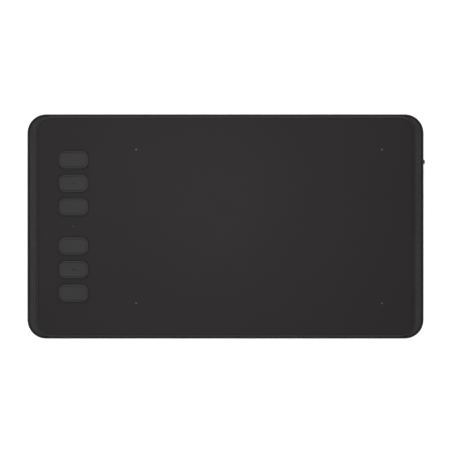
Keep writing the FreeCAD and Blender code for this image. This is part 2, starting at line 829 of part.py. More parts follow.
def front_panel():
    """Inset plate with the bevel, the openings and the parts moulded under it."""
    body = piece("front_panel", z="panel_under")
    plate = grow(body, "plate", [rounded("panel_width", "panel_depth", "panel_corner")], "0",
                 "panel_thick")
    bevel(body, "edge_bevel", plate, level("panel_thick"), "panel_bevel_in", "panel_bevel_down")
    cut(body, "film_seat", [rounded("film_width + 2 * film_gap", "film_depth + 2 * film_gap",
                                    "film_corner + film_gap")],
        "panel_thick - film_thick", "panel_thick")
    skirt_inset = "2 * (band_ledge + skirt_gap)"
    skirt = [rounded("panel_width - %s" % skirt_inset, "panel_depth - %s" % skirt_inset,
                     "panel_corner - band_ledge - skirt_gap"),
             rounded("panel_width - %s - 2 * skirt_wall" % skirt_inset,
                     "panel_depth - %s - 2 * skirt_wall" % skirt_inset,
                     "panel_corner - band_ledge - skirt_gap - skirt_wall")]
    grow(body, "skirt", skirt, "0 - skirt_depth", "0")
    grow(body, "screw_bosses", screw_circles("panel_boss"), "boss_joint - panel_under", "0")
    cut(body, "screw_holes", screw_circles("screw_hole"), "boss_joint - panel_under",
        "panel_hole_rise")
    cut(body, "key_openings", key_outlines(rounded, "key_width + 2 * key_gap",
                                           "key_depth + 2 * key_gap", "key_hole_corner"),
        "0", "panel_thick")
    cut(body, "light_hole", [circle("pipe_hole", x="key_x")], "0", "panel_thick")


def work_surface_film():
    """Matt sheet that covers the panel's top."""
    body = piece("work_surface_film", z="plateau - film_thick")
    grow(body, "sheet", [rounded("film_width", "film_depth", "film_corner")], "0", "film_thick")
    cut(body, "key_openings", key_outlines(rounded, "key_width + 2 * key_gap",
                                           "key_depth + 2 * key_gap", "key_hole_corner"),
        "0", "film_thick")
    cut(body, "light_hole", [circle("pipe_hole", x="key_x")], "0", "film_thick")


def foot(across, up):
    """Rubber pad in its seat under one corner, over a casing screw."""
    label = "foot_%s_%s" % (DEPTH_NAMES[up], SIDE_NAMES[across])
    body = piece(label, x=times(across, "screw_x"), y=times(up, "screw_y"))
    pad = grow(body, "pad", [rounded("foot_width", "foot_depth", "foot_corner")], "0",
               "foot_proud + foot_seat")
    bevel(body, "pad_bevel", pad, level("0"), "foot_bevel", "foot_bevel")


def housing_screws():
    """Six screws through the tray into the panel's bosses, heads down."""
    body = piece("housing_screws", x="0 - screw_x", y="0 - screw_y",
                 z="screw_seat - screw_head_height")
    screw = turned(body, "screw", [("screw_head_diameter", "screw_head_height"),
                                   ("screw_shank", "screw_head_height + screw_length")])
    cross = [cut(body, "cross_across", [square("screw_cross_length", "screw_cross_width")], "0",
                 "screw_head_pit"),
             cut(body, "cross_up", [square("screw_cross_width", "screw_cross_length")], "0",
                 "screw_head_pit")]
    doc.recompute()
    pattern = body.newObject("PartDesign::LinearPattern", "screw_grid")
    pattern.Originals = [screw] + cross
    pattern.Direction = (origin_feature(body, "X_Axis"), [""])
    bind(pattern, "Length", "2 * screw_x")
    pattern.Occurrences = 3
    pattern.Direction2 = (origin_feature(body, "Y_Axis"), [""])
    bind(pattern, "Length2", "2 * screw_y")
    pattern.Occurrences2 = 2
    body.Tip = pattern


# Keys and their switches

def express_key(number):
    """Hollow keycap with a flange under the panel and a stem on its switch."""
    body = piece("express_key_%d" % number, x="key_x", y=key_y(number), z="key_under")
    top = "key_top - key_under"
    roof = "key_top - key_under - key_roof"
    grow(body, "flange", [rounded("key_width + 2 * key_flange", "key_depth + 2 * key_flange",
                                  "key_corner + key_flange")], "0", "key_flange_thick")
    cap = grow(body, "cap", [rounded("key_width", "key_depth", "key_corner")], "key_flange_thick", top)
    bevel(body, "cap_bevel", cap, level(top), "key_bevel_in", "key_bevel_down")
    inset = "2 * key_bevel_in"
    face = [rounded("key_width - %s" % inset, "key_depth - %s" % inset, "key_corner - key_bevel_in"),
            rounded("key_width - %s - 2 * key_line_width" % inset,
                    "key_depth - %s - 2 * key_line_width" % inset,
                    "key_corner - key_bevel_in - key_line_width")]
    cut(body, "face_line", face, "%s - key_line_depth" % top, top)
    cut(body, "hollow", [rounded("key_width - 2 * key_wall", "key_depth - 2 * key_wall",
                                 "key_corner - key_wall")], "0", roof)
    grow(body, "stem", [circle("key_stem")], "plunger_top - key_under", roof)
    if number in DIMPLED_KEYS:
        cut(body, "dimple", [circle("key_dimple")], "%s - key_dimple_depth" % top, top)


def key_switch_plunger(number):
    """Round plunger of one tact switch."""
    plunger = doc.addObject("Part::Cylinder", "key_switch_plunger_%d" % number)
    plunger.Label = "key_switch_plunger_%d" % number
    bind(plunger, "Radius", "plunger_diameter / 2")
    bind(plunger, "Height", "plunger_length")
    place(plunger, "key_x", key_y(number), "plunger_top - plunger_length")
    pieces.append(plunger)


def key_switch_bodies():
    """Six tact switches on the main board, without their plungers."""
    body = piece("key_switch_bodies", z="board_top")
    outlines = key_outlines(rounded, "switch_width", "switch_width", "switch_corner")
    grow(body, "cases", outlines, "0", "switch_body_height")
    cut(body, "wells", key_outlines(circle, "switch_hole"), "switch_floor", "switch_body_height")


# Main board and what stands on it

def main_board():
    """Board that carries the key switches, the controller and the radio."""
    body = piece("main_board", x="main_board_x", z="board_under")
    grow(body, "plate", [rounded("main_board_width", "main_board_depth", "board_corner")], "0",
         "board_thick")
    cut(body, "screw_holes", main_screw_circles("board_screw_passage"), "0", "board_thick")


def main_board_chips():
    """Controller, power chip, memory, crystal and radio chip."""
    body = piece("main_board_chips", x="chip_row_x", z="board_top")
    grow(body, "controller", [square("chip_controller", "chip_controller", y="chip_controller_y")],
         "0", "chip_controller_height")
    low_chips = [square("chip_power", "chip_power", y="chip_power_y"),
                 square("chip_memory_width", "chip_memory_depth", y="chip_memory_y"),
                 square("radio_chip", "radio_chip", x="can_x - chip_row_x", y="can_y")]
    grow(body, "low_chips", low_chips, "0", "chip_power_height")
    grow(body, "crystal", [square("crystal_width", "crystal_depth", y="crystal_y")], "0",
         "crystal_height")


def radio_shield_can():
    """Thin metal lid over the radio chip, open underneath."""
    body = piece("radio_shield_can", x="can_x", y="can_y", z="board_top")
    grow(body, "can", [rounded("can_width", "can_depth", "can_corner")], "0", "can_height")
    cut(body, "inside", [rounded("can_width - 2 * can_wall", "can_depth - 2 * can_wall",
                                 "can_corner - can_wall")], "0", "can_height - can_wall")


def indicator_light_pipe():
    """Clear pin that brings the light up through the panel, with a collar under it."""
    body = piece("indicator_light_pipe", x="key_x", z="board_top + light_height + pipe_light_gap")
    start = "board_top + light_height + pipe_light_gap"
    collar = "panel_under - (%s)" % start
    turned(body, "pipe", [("pipe_stem", "%s - pipe_collar_height" % collar),
                          ("pipe_collar", collar),
                          ("pipe_diameter", "plateau - (%s)" % start)])


# Sensor under the working area

def sensor_board():
    """Board with the antenna grid, under the working area."""
    body = piece("sensor_board", x="active_x", z="sensor_under")
    grow(body, "plate", [rounded("sensor_width", "sensor_depth", "sensor_corner")], "0",
         "sensor_thick")


def sensor_adhesive_sheet():
    """Adhesive between the sensor board and the panel."""
    box("sensor_adhesive_sheet", "sensor_width - 2 * adhesive_margin",
        "sensor_depth - 2 * adhesive_margin", "adhesive_thick", "active_x", "0", "sensor_top")


def shield_plate():
    """Steel sheet under the sensor board, clear of its connector."""
    body = piece("shield_plate", x="shield_x", z="shield_under")
    grow(body, "plate", [rounded("shield_width", "shield_depth", "sensor_corner")], "0",
         "shield_thick")


def foam_pads():
    """Foam strips on the tray's ribs and a pad on the battery, under the shield."""
    body = piece("foam_pads", z="foam_under")
    strips = [square("foam_length", "foam_width", x="active_x", y=times(up, "foam_rib_y"))
              for up in SIDES]
    grow(body, "strips", strips, "0", "foam_thick")
    grow(body, "battery_pad", [square("battery_foam_width", "battery_foam_depth", x="active_x")],
         "cell_top + battery_foam_gap - foam_under", "foam_thick")


def flat_cable(label, width, y, points):
    """A flat cable along points given as x and height, centred at y."""
    middle = value(y)
    spots = [Vector(value(x), middle, value(z)) for x, z in points]
    half, thick = value(width) / 2, value("flex_thick") / 2
    corners = [Vector(0, across, up) for across, up in
               ((-half, -thick), (half, -thick), (half, thick), (-half, thick), (-half, -thick))]
    led_along(label, spots, Part.makePolygon(corners), value(width) * value("flex_thick"))


def connectors(label, width, y, places):
    """Flat cable connectors at places given as x and underside height."""
    body = piece(label, y=y)
    for number, (x, low) in enumerate(places, start=1):
        grow(body, "socket_%d" % number, [square("connector_width", "%s + connector_extra" % width,
                                                 x=x)], low, "%s + connector_height" % low)


def sensor_flex():
    """Flat cable from the sensor board down to the main board."""
    low = "board_top + connector_height / 2"
    high = "sensor_under - connector_height / 2"
    start = "main_connector_x + connector_width / 2"
    end = "sensor_connector_x - connector_width / 2"
    connectors("sensor_flex_connectors", "sensor_flex_width", "sensor_flex_y",
               [("main_connector_x", "board_top"),
                ("sensor_connector_x", "sensor_under - connector_height")])
    flat_cable("sensor_flex_cable", "sensor_flex_width", "sensor_flex_y",
               [(start, low), (start + " + sensor_flex_run", low),
                (end + " - sensor_flex_run", high), (end, high)])


def side_flex():
    """Flat cable along the tray's base from the main board to the side board."""
    high = "board_top + connector_height / 2"
    low = "floor_top + flex_thick / 2 + flex_floor_gap"
    start = "main_connector_x + connector_width / 2"
    end = "side_connector_x - connector_width / 2"
    connectors("side_flex_connectors", "side_flex_width", "side_board_y",
               [("main_connector_x", "board_top"), ("side_connector_x", "board_top")])
    flat_cable("side_flex_cable", "side_flex_width", "side_board_y",
               [(start, high), (start + " + side_flex_run", high),
                (start + " + side_flex_run + side_flex_slope", low),
                (end + " - side_flex_run - side_flex_slope", low),
                (end + " - side_flex_run", high), (end, high)])


# Side board with the charging socket and the power switch

def side_board():
    """Small board at the right end, notched for the socket."""
    body = piece("side_board", x="side_board_x", y="side_board_y", z="board_under")
    grow(body, "plate", [rounded("side_board_width", "side_board_depth", "board_corner")], "0",
         "board_thick")
    notch_back = "socket_back - side_board_x - socket_board_gap"
    notch_width = "side_board_width / 2 + cut_spare - (%s)" % notch_back
    cut(body, "socket_notch", [square(notch_width, "socket_width + 2 * socket_board_gap",
                                      x="%s + (%s) / 2" % (notch_back, notch_width),
                                      y="socket_y - side_board_y")], "0", "board_thick")
    cut(body, "screw_holes", side_screw_circles("board_screw_passage", "side_screw_x - side_board_x",
                                                "0"), "0", "board_thick")


def usb_receptacle_shell():
    """Metal shell of the charging socket, open at the front."""
    body = piece("usb_receptacle_shell", x="socket_back", y="socket_y", z="socket_middle")
    walls = [rounded("socket_width", "socket_height", "socket_corner"),
             rounded("socket_width - 2 * socket_wall", "socket_height - 2 * socket_wall",
                     "socket_corner - socket_wall")]
    grow(body, "shell", walls, "0", "socket_length", "YZ_Plane")


def usb_receptacle_tongue():
    """Plastic block at the back of the socket and its contact tongue."""
    body = piece("usb_receptacle_tongue", x="socket_back", y="socket_y", z="socket_middle")
    room = "2 * (socket_wall + tongue_gap)"
    grow(body, "block", [rounded("socket_width - %s" % room, "socket_height - %s" % room,
                                 "socket_corner - socket_wall - tongue_gap")], "0", "tongue_base",
         "YZ_Plane")
    grow(body, "tongue", [square("tongue_width", "tongue_thick")], "tongue_base",
         "tongue_base + tongue_length", "YZ_Plane")


def power_switch_body():
    """Tact switch that is pressed from the side, without its plunger."""
    body = piece("power_switch_body", x="power_switch_right - power_switch_length / 2", y="button_y",
                 z="board_top")
    grow(body, "case", [square("power_switch_length", "power_switch_width")], "0",
         "power_switch_height")
    cut(body, "well", [square("power_plunger_width + 2 * power_plunger_gap",
                              "power_plunger_height + 2 * power_plunger_gap",
                              y="power_switch_height / 2")],
        "power_switch_length / 2 - power_plunger_inside - power_plunger_room",
        "power_switch_length / 2", "YZ_Plane")


def power_switch_plunger():
    """Flat plunger of the side switch."""
    box("power_switch_plunger", "power_plunger_proud + power_plunger_inside", "power_plunger_width",
        "power_plunger_height",
        "power_plunger_tip - (power_plunger_proud + power_plunger_inside) / 2", "button_y",
        "button_middle - power_plunger_height / 2")


def power_button():
    """Domed button with a flange inside the wall and a stem on the switch."""
    body = piece("power_button", x="button_back", y="button_y", z="button_middle")
    tip = "half_width + button_proud - button_back"
    reach_up = "band_under - button_band_gap - (button_middle)"
    grow(body, "flange", [square("button_flange_width", "%s + button_flange_drop" % reach_up,
                                 y="(%s - button_flange_drop) / 2" % reach_up)], "0",
         "button_flange_thick", "YZ_Plane")
    head = grow(body, "head", [rounded("button_width", "button_height", "button_corner")],
                "button_flange_thick", tip, "YZ_Plane")
    tip_at = value(tip)
    blend(body, "dome", head, lambda shape, edge: edge.BoundBox.XMin > tip_at - PICK_GAP,
          "button_dome")
    grow(body, "stem", [circle("button_stem")], "0 - button_stem_length", "0", "YZ_Plane")


# Battery

def battery_cell():
    """Flat pouch cell with round long edges."""
    body = piece("battery_cell", x="active_x", z="cell_under")
    block = grow(body, "pouch", [square("cell_width", "cell_depth")], "0", "cell_height")
    def long_edges(shape, edge):
        return edge.BoundBox.XLength > value("cell_width") - PICK_GAP
    blend(body, "long_edges", block, long_edges, "cell_round")


def battery_small_parts():
    """Tape under the cell, its protection board, and the header on the main board."""
    box("battery_tape", "battery_length", "cell_depth", "tape_thick", "battery_x", "0", "floor_top")
    box("battery_protection_board", "protection_width", "protection_depth", "protection_height",
        "protection_x", "0", "cell_under")
    box("battery_header", "header_width", "header_depth", "header_height", "header_x", "plug_y",
        "board_top")
    box("battery_plug", "plug_width", "plug_depth", "plug_height", "plug_x", "plug_y", "board_top")


def battery_leads():
    """Red and black wires from the protection board to the plug."""
    low = value("protection_top + lead_diameter / 2 + lead_gap")
    high = value("board_top + plug_height / 2")
    start, end = value("protection_x"), value("plug_x + plug_width / 2")
    first_bend, last_bend = start - value("lead_first_run"), end + value("lead_last_run")
    radius = value("lead_diameter") / 2
    for name, side in (("battery_lead_red", 1), ("battery_lead_black", -1)):
        near = side * value("lead_spread")
        far = value("plug_y") + side * value("plug_pitch") / 2
        stagger = side * value("lead_stagger")
        points = [Vector(start, near, low), Vector(first_bend - stagger, near, low),
                  Vector(last_bend - stagger, far, high), Vector(end, far, high)]
        ring = Part.Wire(Part.Circle(Vector(), points[1] - points[0], radius).toShape())
        led_along(name, points, ring, math.pi * radius ** 2)


def board_screws():
    """Small screws that hold the main board and the side board to the tray."""
    body = piece("board_screws", z="board_top")
    def all_six(outline):
        return main_screw_circles(outline, "main_board_x") + side_screw_circles(outline)
    grow(body, "shanks", all_six("screw_shank"), "0 - board_screw_length", "0")
    grow(body, "heads", all_six("board_screw_head"), "0", "board_screw_head_height")


def check_and_write():
    """Stop if anything failed, then write every piece to its own file."""
    doc.recompute()
    for thing in doc.Objects:
        if "Invalid" in thing.State or "Error" in thing.State:
            raise RuntimeError("%s: %s" % (thing.Label, thing.State))
    for part in pieces:
        if part.Shape.isNull() or not part.Shape.isValid():
            raise RuntimeError("%s has no valid shape" % part.Label)
    os.makedirs("parts", exist_ok=True)
    for part in pieces:
        part.Shape.exportStep("parts/%s.step" % part.Label)
    print("%d pieces written" % len(pieces))


# How near a number has to be when edges are picked, and the share of a run that an
# arc of a cable takes at each end
PICK_GAP = 0.001
ARC_SHARE = 0.45
SIDE_NAMES = {-1: "left", 1: "right"}
DEPTH_NAMES = {-1: "front", 1: "rear"}

pieces = []
sheet = make_sheet()

rear_housing()
front_panel()
work_surface_film()
for side in SIDES:
    end_band(side)
for across in SIDES:
    for up in SIDES:
        foot(across, up)
housing_screws()
for number in range(1, KEY_COUNT + 1):
    express_key(number)
    key_switch_plunger(number)
key_switch_bodies()
main_board()
main_board_chips()
radio_shield_can()
box("indicator_led", "light_width", "light_depth", "light_height", "key_x", "0", "board_top")
indicator_light_pipe()
sensor_board()
sensor_adhesive_sheet()
shield_plate()
foam_pads()
sensor_flex()
side_flex()
side_board()
usb_receptacle_shell()
usb_receptacle_tongue()
power_switch_body()
power_switch_plunger()
power_button()
battery_cell()
battery_small_parts()
battery_leads()
board_screws()
check_and_write()
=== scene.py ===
import json

import bpy
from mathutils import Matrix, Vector


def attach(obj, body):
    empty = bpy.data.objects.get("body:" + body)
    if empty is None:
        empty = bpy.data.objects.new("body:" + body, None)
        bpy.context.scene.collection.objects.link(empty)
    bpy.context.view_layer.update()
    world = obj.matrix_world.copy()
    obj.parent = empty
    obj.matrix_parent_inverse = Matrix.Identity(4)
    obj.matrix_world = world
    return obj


# A cordless graphics tablet on a pale floor, seen from straight above. Everything is in metres.
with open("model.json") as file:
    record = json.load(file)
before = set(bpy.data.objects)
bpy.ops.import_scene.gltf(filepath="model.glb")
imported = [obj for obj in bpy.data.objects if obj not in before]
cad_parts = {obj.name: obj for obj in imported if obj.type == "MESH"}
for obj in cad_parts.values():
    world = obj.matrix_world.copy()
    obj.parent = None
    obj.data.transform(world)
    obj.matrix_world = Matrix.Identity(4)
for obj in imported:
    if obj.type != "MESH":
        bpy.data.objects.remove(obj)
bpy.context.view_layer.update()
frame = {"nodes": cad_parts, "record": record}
cad = frame["nodes"]
mm = 0.001
print("frame loaded:", len(cad), "pieces")


# Node trees. A Tone is one output socket, and arithmetic on it adds Math nodes.

class Tone:
    def __init__(self, tree, socket):
        self.tree = tree
        self.socket = socket

    def __add__(self, other):
        return self.tree.math("ADD", self, other)

    def __radd__(self, other):
        return self.tree.math("ADD", other, self)

    def __sub__(self, other):
        return self.tree.math("SUBTRACT", self, other)

    def __rsub__(self, other):
        return self.tree.math("SUBTRACT", other, self)

    def __mul__(self, other):
        return self.tree.math("MULTIPLY", self, other)

    def __rmul__(self, other):
        return self.tree.math("MULTIPLY", other, self)

    def __truediv__(self, other):
        return self.tree.math("DIVIDE", self, other)

    def __rtruediv__(self, other):
        return self.tree.math("DIVIDE", other, self)

    def __abs__(self):
        return self.tree.math("ABSOLUTE", self)


class Tree:
    # adds nodes to one node tree, for a material, the world or Geometry Nodes
    def __init__(self, tree):
        self.tree = tree

    def node(self, kind, settings=None, sockets=None, output=0):
        # a node's type, its settings, then the values or links of its sockets
        made = self.tree.nodes.new(kind)
        for name, setting in (settings or {}).items():
            setattr(made, name, setting)
        for name, given in (sockets or {}).items():
            socket = findSocket(made.inputs, name)
            for single in given if isinstance(given, list) else [given]:
                if isinstance(single, Tone):
                    self.tree.links.new(single.socket, socket)
                else:
                    socket.default_value = single
        return Tone(self, findSocket(made.outputs, output)) if made.outputs else None

    def math(self, operation, *numbers):
        return self.node("ShaderNodeMath", {"operation": operation}, dict(enumerate(numbers)))

    def vector(self, x, y, z):
        return self.node("ShaderNodeCombineXYZ", None, {"X": x, "Y": y, "Z": z})

    def split(self, place):
        # X, Y and Z of a place
        apart = self.node("ShaderNodeSeparateXYZ", None, {"Vector": place})
        return [Tone(self, socket) for socket in apart.socket.node.outputs]

    def between(self, tone, low, high, first=0.0, last=1.0):
        # goes smoothly from first to last while tone goes from low to high
        return self.node("ShaderNodeMapRange", {"interpolation_type": "SMOOTHSTEP"}, {
            "Value": tone, "From Min": low, "From Max": high, "To Min": first, "To Max": last})


def findSocket(sockets, name):
    # by number, by identifier where names repeat, or by name
    if isinstance(name, int):
        return sockets[name]
    return next((socket for socket in sockets if socket.identifier == name), None) or sockets[name]


def shaded(color, share):
    return tuple(channel * share for channel in color)


edgeLook = {"samples": 4, "flat": 0.999, "turned": 0.86}  # how alike the true and rounded normals are


class Finish(Tree):
    # a procedural material that reads Object coordinates
    def __init__(self, name):
        self.material = bpy.data.materials.new(name)
        self.material.use_nodes = True
        super().__init__(self.material.node_tree)
        self.tree.nodes.clear()
        self.place = self.node("ShaderNodeTexCoord", output="Object")

    def noise(self, size, detail=2.0, place=None, distortion=0.0):
        # soft patches about as large as size, from 0 to 1
        return self.node("ShaderNodeTexNoise", None, {
            "Vector": place or self.place, "Scale": 1 / size, "Detail": detail,
            "Distortion": distortion})

    def ripple(self, size, **shape):
        # the same noise as a swing, from -0.5 to 0.5
        return self.noise(size, **shape) - 0.5

    def cells(self, size):
        # distance to the nearest of many scattered points about size apart
        return self.node("ShaderNodeTexVoronoi", None,
                         {"Vector": self.place, "Scale": 1 / size}, "Distance")

    def blend(self, amount, first, second):
        ends = [end if isinstance(end, Tone) else (*end, 1) for end in (first, second)]
        return self.node("ShaderNodeMix", {"data_type": "RGBA"}, {
            "Factor_Float": amount, "A_Color": ends[0], "B_Color": ends[1]}, "Result_Color")

    def toned(self, swing, color, tones):
        # from the darker to the lighter tone of a colour as swing goes from -0.5 to 0.5
        return self.blend(swing + 0.5, shaded(color, tones[0]), shaded(color, tones[1]))

    def stretched(self, scale, turn=0.0):
        # the place turned about Z and then scaled, for streaks
        return self.node("ShaderNodeMapping", {"vector_type": "POINT"}, {
            "Vector": self.place, "Rotation": (0, 0, turn), "Scale": scale})

    def softEdges(self, radius):
        # a normal that rounds the edges, and a mask that is 1 on them
        rounded = self.node("ShaderNodeBevel", {"samples": edgeLook["samples"]}, {"Radius": radius})
        flat = self.node("ShaderNodeNewGeometry", output="Normal")
        alike = self.node("ShaderNodeVectorMath", {"operation": "DOT_PRODUCT"},
                          {0: rounded, 1: flat}, "Value")
        return rounded, self.between(alike, edgeLook["flat"], edgeLook["turned"])

    def bump(self, height, depth, normal=None):
        sockets = {"Height": height, "Distance": depth}
        if normal:
            sockets["Normal"] = normal
        return self.node("ShaderNodeBump", None, sockets)

    def stripes(self, tone, pitch, share):
        # 1 on lines one pitch apart that take up that share of it
        middle = abs(self.math("FRACT", tone / pitch) - 0.5)
        return self.math("LESS_THAN", middle, share / 2)

    def close(self, sockets):
        shader = self.node("ShaderNodeBsdfPrincipled", None, sockets)
        self.node("ShaderNodeOutputMaterial", None, {"Surface": shader})
        return self.material


# Plastics of the outside. What they share comes first.

moulding = {"pitSize": 1.6, "pitShare": 0.5, "cloudRough": 0.12, "grainRough": 0.1,
            "wornTone": 1.7, "wornShine": 0.1, "gloss": 0.5}
caseLook = {**moulding, "color": (0.0155, 0.0152, 0.0155), "tones": (0.7, 1.3),
            "cloudSize": 22 * mm, "cloudTint": 1.2, "grainSize": 0.32 * mm, "grainTint": 1.2,
            "grainDepth": 0.02 * mm, "edge": 0.08 * mm, "wear": 0.15, "roughness": 0.58}
panelLook = {**moulding, "color": (0.0135, 0.0128, 0.013), "tones": (0.75, 1.25),
             "cloudSize": 30 * mm, "cloudTint": 1.0, "grainSize": 0.2 * mm, "grainTint": 0.8,
             "grainDepth": 0.006 * mm, "edge": 0.06 * mm, "wear": 0.12, "roughness": 0.46,
             "gloss": 0.36}
bandLook = {**moulding, "color": (0.0255, 0.0253, 0.0255), "tones": (0.5, 1.5),
            "cloudSize": 18 * mm, "cloudTint": 0.6, "grainSize": 0.8 * mm, "grainTint": 2.1,
            "grainDepth": 0.018 * mm, "edge": 0.06 * mm, "wear": 0.1, "roughness": 0.66,
            # the step values below set painted light: the band is paler towards the panel's step and
            # most at the left end
            "outerX": 127 * mm, "innerX": 123.3 * mm, "dustAndPaintedLight": 0.13, "paintedLightLean": 0.32}
buttonLook = {**moulding, "color": (0.017, 0.0165, 0.017), "tones": (0.8, 1.2),
              "cloudSize": 3 * mm, "cloudTint": 1.0, "grainSize": 0.15 * mm, "grainTint": 0.6,
              "grainDepth": 0.003 * mm, "edge": 0.08 * mm, "wear": 0.15, "roughness": 0.46}


def moulded(name, look):
    # spark-eroded grain, a cloudy tone, soft edges that hands have polished a little, and, where the
    # look asks for it, painted light beside the panel's step
    finish = Finish(name)
    cloud = finish.ripple(look["cloudSize"], detail=3)
    grain = finish.ripple(look["grainSize"], detail=3)
    pits = finish.cells(look["grainSize"] * look["pitSize"])
    edge, worn = finish.softEdges(look["edge"])
    swing = cloud * look["cloudTint"] + grain * look["grainTint"]
    if "dustAndPaintedLight" in look:  # painted light: paler beside the panel's step, which shades the band, and most at the left end, where more light falls
        x = finish.split(finish.place)[0]
        inward = finish.between(abs(x), look["outerX"], look["innerX"], -1.0, 1.0)
        swing = swing + inward * (look["dustAndPaintedLight"] - x * look["paintedLightLean"])
    tinted = finish.toned(swing, look["color"], look["tones"])
    polished = finish.blend(worn * look["wear"], tinted, shaded(look["color"], look["wornTone"]))
    roughness = cloud * look["cloudRough"] + grain * look["grainRough"] + look["roughness"]
    relief = finish.bump(grain + pits * look["pitShare"], look["grainDepth"], edge)
    return finish.close({"Base Color": polished, "Roughness": roughness - worn * look["wornShine"],
                         "Normal": relief, "Specular IOR Level": look["gloss"]})


filmLook = {"color": (0.0137, 0.0108, 0.0118), "tones": (0.86, 1.14), "cloudSize": 45 * mm,
            "smudgeSize": 9 * mm, "smudgeRough": 0.06, "roughness": 0.48,
            "toothSize": 0.16 * mm, "toothTint": 1.1, "toothRough": 0.12,
            "toothDepth": 0.004 * mm, "fibreSize": 0.64 * mm, "fibreShare": 0.6,
            "areaMiddle": (21.85 * mm, 0, 0), "areaReach": 85 * mm, "areaCore": 15 * mm,
            "areaShine": 0.03, "strokeLength": 50 * mm, "strokeWidth": 0.35 * mm,
            "strokeTurns": (0.5, 0.95, -0.35), "strokeFaint": 0.7, "strokeFull": 0.78,
            "strokeShine": 0.05}


def workFilm(name, look):
    # matt sheet with a paper-like tooth, faintly polished where the pen runs most
    finish = Finish(name)
    cloud = finish.ripple(look["cloudSize"], detail=3, distortion=0.6)
    smudge = finish.ripple(look["smudgeSize"], detail=4, distortion=1.5)
    tooth = finish.ripple(look["toothSize"], detail=3)
    fibre = finish.ripple(look["fibreSize"], detail=2)
    away = finish.node("ShaderNodeVectorMath", {"operation": "DISTANCE"},
                       {0: finish.place, 1: look["areaMiddle"]}, "Value")
    used = finish.between(away, look["areaReach"], look["areaCore"])
    scale = (1 / look["strokeLength"], 1 / look["strokeWidth"], 1)
    streaks = [finish.noise(1.0, detail=0, place=finish.stretched(scale, turn))
               for turn in look["strokeTurns"]]
    strokes = sum(finish.between(streak, look["strokeFaint"], look["strokeFull"])
                  for streak in streaks)
    color = finish.toned(cloud + tooth * look["toothTint"], look["color"], look["tones"])
    roughness = smudge * look["smudgeRough"] + tooth * look["toothRough"] + look["roughness"]
    roughness = roughness - used * look["areaShine"] - strokes * used * look["strokeShine"]
    relief = finish.bump(tooth + fibre * look["fibreShare"], look["toothDepth"])
    return finish.close({"Base Color": color, "Roughness": roughness, "Normal": relief})


keyLook = {"color": (0.035, 0.0352, 0.035), "tones": (0.82, 1.18), "cloudSize": 7 * mm,
           "cloudTint": 0.9, "cloudRough": 0.08, "grainSize": 0.16 * mm, "grainRough": 0.1,
           "grainDepth": 0.004 * mm, "roughness": 0.5, "edge": 0.08 * mm, "wear": 0.12,
           # rimLight and lineLight set painted light on the bevel and the line, pitTone and pitShade
           # set painted shade low down
           "wornShine": 0.08, "paleTone": 1.5, "top": 9.4 * mm, "rimLow": 9.28 * mm,
           "rimLight": 0.75, "lineLow": 9.1 * mm, "lineLight": 0.25, "pitLow": 8.85 * mm,
           "pitTone": 0.1, "pitShade": 0.75, "pitRough": 0.4, "columnX": -99 * mm,
           "firstY": 12.7 * mm, "pitch": 15.35 * mm, "fingerWidth": 7 * mm,
           "fingerDepth": 4.5 * mm, "fingerCore": 0.1, "fingerShine": 0.02}


def keyPlastic(name, look):
    # satin keys: painted light makes the bevel and the line round the face paler, painted shade makes
    # them dark low down, in the dimples and on their sides in the gap, and they are a little shinier
    # where a finger presses
    finish = Finish(name)
    x, y, z = finish.split(finish.place)
    steps = (abs(y) - look["firstY"]) / look["pitch"] + 0.5
    across = (x - look["columnX"]) / look["fingerWidth"]
    along = (finish.math("FRACT", steps) - 0.5) * (look["pitch"] / look["fingerDepth"])
    pressed = finish.between(across * across + along * along, 1.0, look["fingerCore"])
    cloud = finish.ripple(look["cloudSize"], detail=3)
    grain = finish.ripple(look["grainSize"], detail=3)
    edge, worn = finish.softEdges(look["edge"])
    tinted = finish.toned(cloud * look["cloudTint"] + grain, look["color"], look["tones"])
    rim = finish.between(z, look["top"], look["rimLow"], 0.0, look["rimLight"])
    line = finish.between(z, look["rimLow"], look["lineLow"], 0.0, look["lineLight"])
    pit = finish.between(z, look["lineLow"], look["pitLow"])
    pale = shaded(look["color"], look["paleTone"])
    # painted light: the bevel and the line round the face are made paler
    paintedPaleRimAndLine = finish.blend(rim + line, tinted, pale)
    # painted shade: darker low down, in the dimples and on the key's sides in the gap between parts
    paintedShadeLowDown = finish.blend(pit * look["pitShade"], paintedPaleRimAndLine, shaded(look["color"], look["pitTone"]))
    polished = finish.blend(worn * look["wear"], paintedShadeLowDown, pale)
    roughness = cloud * look["cloudRough"] + grain * look["grainRough"] + look["roughness"]
    roughness = roughness - worn * look["wornShine"] - pressed * look["fingerShine"]
    return finish.close({"Base Color": polished, "Roughness": roughness + pit * look["pitRough"],
                         "Normal": finish.bump(grain, look["grainDepth"], edge)})


rubberLook = {"color": (0.011, 0.011, 0.0112), "tones": (0.75, 1.3), "cloudSize": 4 * mm,
              "cloudTint": 1.4, "cloudRough": 0.1, "roughness": 0.82, "edge": 0.15 * mm,
              "poreSize": 0.25 * mm, "poreDepth": 0.02 * mm, "dustAndPaintedLight": (0.06, 0.057, 0.053),
              "dustSize": 1.2 * mm, "dustFaint": 0.5, "dustFull": 0.75, "dustTop": 0.5 * mm,
              "dustLow": 0.35, "dustHigh": 0.08}


def rubber(name, look):
    # matt rubber with fine pores and a trace of desk dust, most of it low down
    finish = Finish(name)
    cloud = finish.ripple(look["cloudSize"], detail=3)
    pores = finish.ripple(look["poreSize"], detail=3)
    low = finish.between(finish.split(finish.place)[2], look["dustTop"], 0.0)
    specks = finish.between(finish.noise(look["dustSize"], detail=4), look["dustFaint"],
                            look["dustFull"])
    dusty = specks * (low * look["dustLow"] + look["dustHigh"])
    color = finish.toned(cloud * look["cloudTint"], look["color"], look["tones"])
    edge = finish.softEdges(look["edge"])[0]
    return finish.close({"Base Color": finish.blend(dusty, color, look["dustAndPaintedLight"]),
                         "Roughness": cloud * look["cloudRough"] + look["roughness"],
                         "Normal": finish.bump(pores, look["poreDepth"], edge)})


# Metals. What they share comes first.

